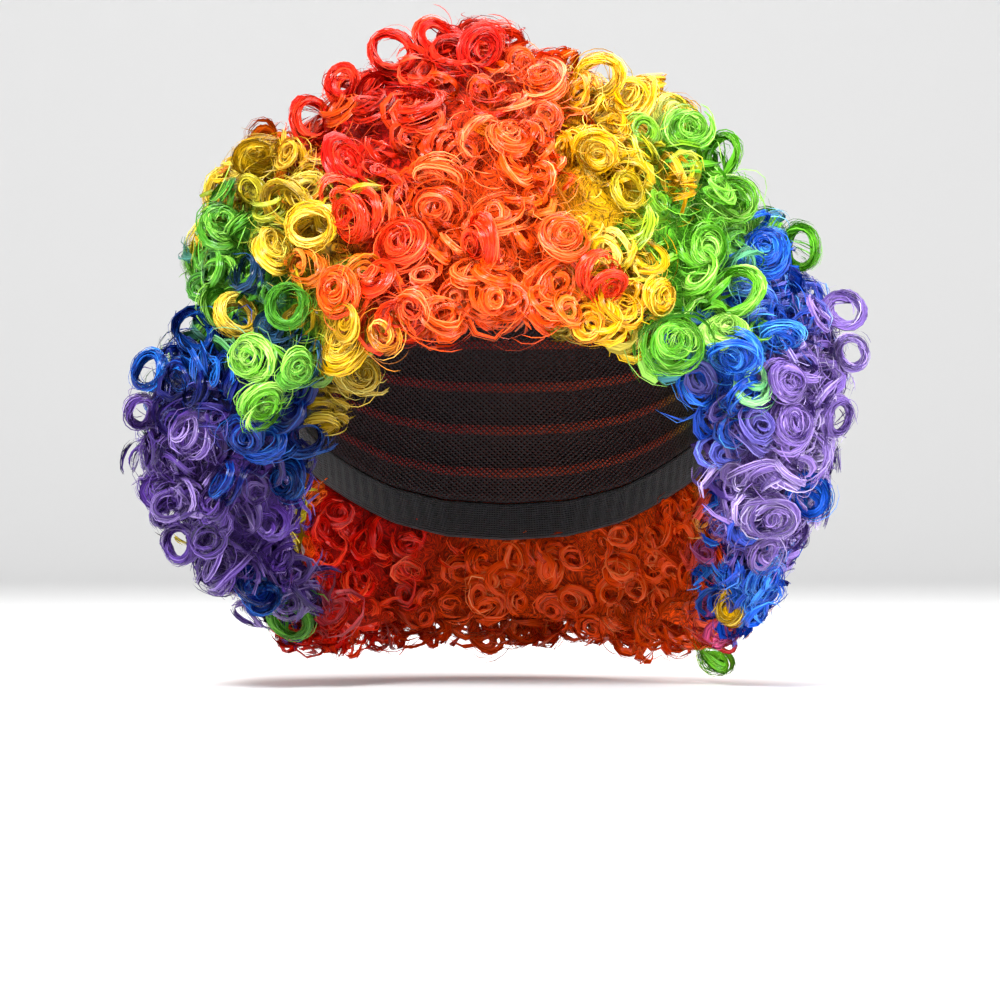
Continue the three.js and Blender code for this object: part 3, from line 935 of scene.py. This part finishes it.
def under_hair():
    """The under-hair of each node, cut from one grid of cells round the head."""
    azimuth = column_azimuths(UNDER_COLUMNS)
    share = np.linspace(0.02, 1, UNDER_ROWS + 1)
    surfaces = (lambda d: outline_radius(d) - UNDER_DEPTH, inside_radius)
    walls, ways = [], []
    for surface, lift in zip(surfaces, UNDER_ENDS):
        edge = polar_at(azimuth, surface, hair_drop(azimuth) - lift)
        d = direction(azimuth[:, None], edge[:, None] * share)
        walls.append(CENTRE + d * surface(d)[..., None])
        ways.append(d)
    outside, inside = walls
    outside = outside + ways[0] * lumps(outside)[..., None]
    inside = inside + ways[1] * (UNDER_LIFT * (0.1 + 0.9 * share[:, None] ** 4))
    points = np.concatenate([outside.reshape(-1, 3), inside.reshape(-1, 3)])
    index = np.arange(len(points)).reshape(2, UNDER_COLUMNS, UNDER_ROWS + 1)
    out, back = np.concatenate([index, index[:, :1]], axis=1)
    middle = unit(ways[0][:, :-1] + np.roll(ways[0], -1, axis=0)[:, 1:])
    owner = names_of(middle)
    for name in sorted(set(owner.ravel())):
        mine = owner == name
        faces = [grid_cells(out)[mine], grid_cells(back)[mine][:, ::-1]]
        above = np.pad(mine, ((0, 0), (1, 0)))[:, :-1]
        below = np.pad(mine, ((0, 0), (0, 1)))[:, 1:]
        sides = (
            (mine & ~above, (0, 0), (1, 0)),
            (mine & ~below, (0, 1), (1, 1)),
            (mine & ~np.roll(mine, 1, axis=0), (0, 0), (0, 1)),
            (mine & ~np.roll(mine, -1, axis=0), (1, 0), (1, 1)),
        )
        for where, (i, j), (k, m) in sides:
            column, row = np.nonzero(where)
            a, b = (column + i, row + j), (column + k, row + m)
            faces.append(np.stack([out[a], out[b], back[b], back[a]], -1))
        used, faces = np.unique(np.concatenate(faces), return_inverse=True)
        mesh = bpy.data.meshes.new(name.replace("curls", "under_hair"))
        mesh.from_pydata(points[used].tolist(), [], faces.reshape(-1, 4).tolist())
        # Painted shade: a deep tone of the hair's colour, darkened
        give_colours(mesh, colours_of(unit(points[used] - CENTRE), UNDER_PAINTED_SHADE_TONE) * UNDER_PAINTED_SHADE)
        tidy(mesh)
        colour = name.split("_")[0]
        placed(mesh.name, mesh, under_hair_material(f"{colour}_under_hair"), name)


def swept(name, profiles, hue):
    """A mesh through a closed profile for each column round the head, with a map in millimetres."""
    columns, size = profiles.shape[:2]
    index = np.arange(columns * size).reshape(columns, size)
    around = np.concatenate([index, index[:1]], axis=0)
    around = np.concatenate([around, around[:, :1]], axis=1)
    mesh = bpy.data.meshes.new(name)
    mesh.from_pydata(profiles.reshape(-1, 3).tolist(), [], grid_cells(around).reshape(-1, 4).tolist())
    down = running(size_of(np.diff(profiles, axis=1, append=profiles[:, :1])))
    down = np.concatenate([down, down[:1]], axis=0) * 1000
    girth = TURN * HEAD[:2].mean() * 1000
    turn = np.broadcast_to(np.linspace(0, girth, columns + 1)[:, None], down.shape)
    corners = grid_cells(np.arange(down.size).reshape(down.shape)).ravel()
    give_map(mesh, "Grain", np.stack([turn.ravel()[corners], down.ravel()[corners]], -1))
    give_colours(mesh, hue)
    tidy(mesh)
    return mesh


# The net cap and its elastic edge
WEFT_SPACING = 0.0125  # between the rows of sewn-on hair inside the cap
WEFT_HALF = 0.0016
WEFT_RISE = 0.0005
NET_GAP = 0.0003  # from the head to the net
CAP_RADIUS = 0.095  # about the mean, to space the rows
CAP_COLUMNS = 160
BAND_COLUMNS = 400
RIPPLES = 100
RIPPLE_HEIGHT = 0.0003


def net_cap():
    """A thin dome of net, with the machine-sewn rows that carry the hair standing up a little inside."""
    azimuth = column_azimuths(CAP_COLUMNS)
    end = polar_at(azimuth, head_radius, cap_drop(azimuth) - BAND_HEIGHT)
    mean = end.mean() * CAP_RADIUS
    rows = [(0.0, 0.0)]
    for weft in np.arange(WEFT_SPACING, mean - WEFT_HALF, WEFT_SPACING):
        rows += [(weft - WEFT_HALF, 0), (weft - 0.7 * WEFT_HALF, WEFT_RISE)]
        rows += [(weft + 0.7 * WEFT_HALF, WEFT_RISE), (weft + WEFT_HALF, 0), (weft + WEFT_SPACING / 2, 0)]
    rows += [(mean, 0.0)]
    share, rise = np.array(rows).T
    share = share / mean
    d = direction(azimuth[:, None], np.maximum(end[:, None] * share, 1e-7))
    radius = head_radius(d)
    inner = CENTRE + d * (radius + NET_GAP - rise * 0.6)[..., None]
    outer = CENTRE + d * (radius + CAP_WALL)[..., None]
    profiles = np.concatenate([inner, outer[:, ::-1]], axis=1)
    sewn = np.concatenate([rise, 0 * rise]) > 0
    # The hair's own colour under the net, dimmed as painted shade: to a half on the sewn rows and far
    # darker in the net between them
    strength = np.broadcast_to(np.where(sewn, 0.5, 0.06), profiles.shape[:2]).reshape(-1, 1)
    hue = colours_of(unit(profiles.reshape(-1, 3) - CENTRE), 0.2)
    mesh = swept("net_dome", profiles, hue * strength)
    placed("net_dome", mesh, net_material(), "net_cap")


def elastic_edge():
    """A soft elastic band, gathered into fine ripples all round."""
    azimuth = column_azimuths(BAND_COLUMNS)
    top = polar_at(azimuth, head_radius, cap_drop(azimuth) - BAND_HEIGHT) + SEAM_GAP / HEAD[0]
    bottom = polar_at(azimuth, head_radius, cap_drop(azimuth))
    share = np.linspace(0, 1, 9)
    d = direction(azimuth[:, None], top[:, None] + (bottom - top)[:, None] * share)
    ripple = RIPPLE_HEIGHT * np.sin(azimuth * RIPPLES)[:, None] * np.sin(math.pi * share) ** 0.5
    full = BAND_WALL * (0.55 + 0.45 * np.sin(math.pi * share) ** 0.4)
    middle = head_radius(d) + BAND_WALL / 2 + ripple
    inner = CENTRE + d * (middle - full / 2)[..., None]
    outer = CENTRE + d * (middle + full / 2)[..., None]
    profiles = np.concatenate([inner, outer[:, ::-1]], axis=1)
    mesh = swept("elastic_band", profiles, np.full((profiles.size // 3, 3), 0.02))
    placed("elastic_band", mesh, elastic_material(), "elastic_edge")


def threads(tree, grain, turn, scale):
    """Threads side by side across the map, turned by a share of a half turn."""
    place = mapped(tree, grain, Rotation=(0, 0, turn * math.pi))
    waves = {"Vector": place, "Scale": scale, "Distortion": 0.25, "Detail": 1.0}
    return node(tree, "TexWave", waves).outputs["Fac"]


def net_material():
    """Black stretch net: threads crossing on the slant, with the hair's colours, dimmed as painted shade,
    showing between them.
    """
    material, tree, shader = new_material("black_net")
    hue = attribute(tree, "Hue", "Color")
    grain = grain_map(tree)
    both = calculated(tree, "MAXIMUM", *(threads(tree, grain, slant, 0.22) for slant in (0.25, -0.25)))
    thread = ranged(tree, both, 0.62, 0.86, 0.0, 1.0)
    black = mixed(tree, thread, hue, (0.012, 0.012, 0.014, 1))
    feed(tree, shader, {"Base Color": black, "Normal": bumped(tree, both, 0.9, 0.0006), "Roughness": 0.6})
    return material


def elastic_material():
    """Black covered elastic: fine ribs along the band, gathered across."""
    material, tree, shader = new_material("black_elastic")
    grain = grain_map(tree)
    ribs = threads(tree, grain, 0, 0.5)
    weave = calculated(tree, "MULTIPLY_ADD", ribs, 0.5, threads(tree, grain, 0.5, 0.35))
    shade = ranged(tree, weave, 0.2, 1.3, 0.0, 1.0)
    black = mixed(tree, shade, (0.004, 0.004, 0.005, 1), (0.024, 0.024, 0.028, 1))
    feed(tree, shader, {"Base Color": black, "Normal": bumped(tree, weave, 0.8, 0.0005)})
    feed(tree, shader, {"Roughness": 0.55, "Sheen Weight": 0.2})
    return material


net_cap()
elastic_edge()
under_hair()

# All the hair. A layer of curls has their number, and how deep they lie or how far across the lower edge.
standing = standout_curls()
outside = joined([outer_curls(970, 0.004, standing), rim_curls(62, 0.75, standing)])
deeper = joined([outer_curls(880, 0.009, standing), rim_curls(62, 0.45, standing)])
inside = joined([hanging_curls(0.0095), turned_in(rim_curls(56, 0.15, standing))])
layers = [
    locks_of(standing, locks=6, fine=7, points=17, width=(0.0024, 0.0038)),
    locks_of(outside, locks=5, fine=4, points=13, width=(0.0018, 0.003)),
    locks_of(deeper, locks=4, fine=1, points=10, width=(0.0024, 0.0034)),
    locks_of(inside, locks=4, fine=2, points=10, width=(0.0022, 0.0034)),
]
ribbons, fibres = map(list, zip(*layers))
fibres += [
    fibres_of(standing, locks=6, per_lock=4, points=14, span=0.9, width=(0.00025, 0.0005)),
    halo(joined([standing, outside]), per_curl=7, points=8, width=(0.0002, 0.0004)),
    frizz(14500, points=6, width=(0.0002, 0.0004), taken=standing),
]
rounded = [(hair, ROUNDNESS) for hair in ribbons] + [(hair, 0) for hair in fibres]
for name in sorted(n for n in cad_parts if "curls" in n):
    parts = [strips(picked(hair, hair["name"] == name), roundness) for hair, roundness in rounded]
    mesh = mesh_of(name.replace("curls", "ringlets"), parts)
    slot = name.split("_")[0] + "_hair"
    placed(mesh.name, mesh, hair_material(slot), name)


# Camera, lights and floor
camera = bpy.data.cameras.new("camera")
camera.sensor_width = 36
camera.lens = 155.7
eye = in_scene("camera", camera)
eye.location = EYE
eye.rotation_euler = (math.pi / 2, 0, 0)
bpy.context.scene.camera = eye

world = bpy.data.worlds.new("world")
bpy.context.scene.world = world
world.use_nodes = True
sky = world.node_tree
feed(sky, sky.nodes["Background"], {"Color": (1, 1, 1, 1), "Strength": 0.4})

LIT_POINT = Vector((0, 0, -0.1))


def area_light(name, place, size, power):
    lamp = bpy.data.lights.new(name, "AREA")
    lamp.shape = "RECTANGLE"
    lamp.size, lamp.size_y = size
    lamp.energy = power
    light = in_scene(name, lamp)
    light.location = place
    light.rotation_euler = (LIT_POINT - light.location).to_track_quat("-Z", "Y").to_euler()


area_light("key", (-0.5, -1.5, 0.9), (0.4, 0.4), 54)
area_light("fill", (1.2, -1.1, 0.3), (0.5, 0.8), 24)
area_light("top", (0.1, 0.3, 1.3), (1.0, 1.0), 24)


def backdrop():
    """A pale floor that curves up into a wall behind."""
    floor, back, bend, width, height = -0.205, 2.9, 0.8, 8.0, 5.0
    profile = [(-6.0, floor), (back - bend, floor)]
    for angle in np.radians(np.arange(6, 91, 6)):
        profile.append((back - bend + bend * math.sin(angle), floor + bend - bend * math.cos(angle)))
    profile.append((back, height))
    points = [(x, y, z) for y, z in profile for x in (-width, width)]
    faces = [(2 * i, 2 * i + 1, 2 * i + 3, 2 * i + 2) for i in range(len(profile) - 1)]
    mesh = bpy.data.meshes.new("backdrop")
    mesh.from_pydata(points, [], faces)
    mesh.polygons.foreach_set("use_smooth", [True] * len(faces))
    material, tree, shader = new_material("pale_paper")
    feed(tree, shader, {"Base Color": (0.87, 0.87, 0.87, 1), "Roughness": 0.9})
    mesh.materials.append(material)
    made = in_scene("backdrop", mesh)


backdrop()
bpy.context.scene.view_settings.view_transform = "Standard"
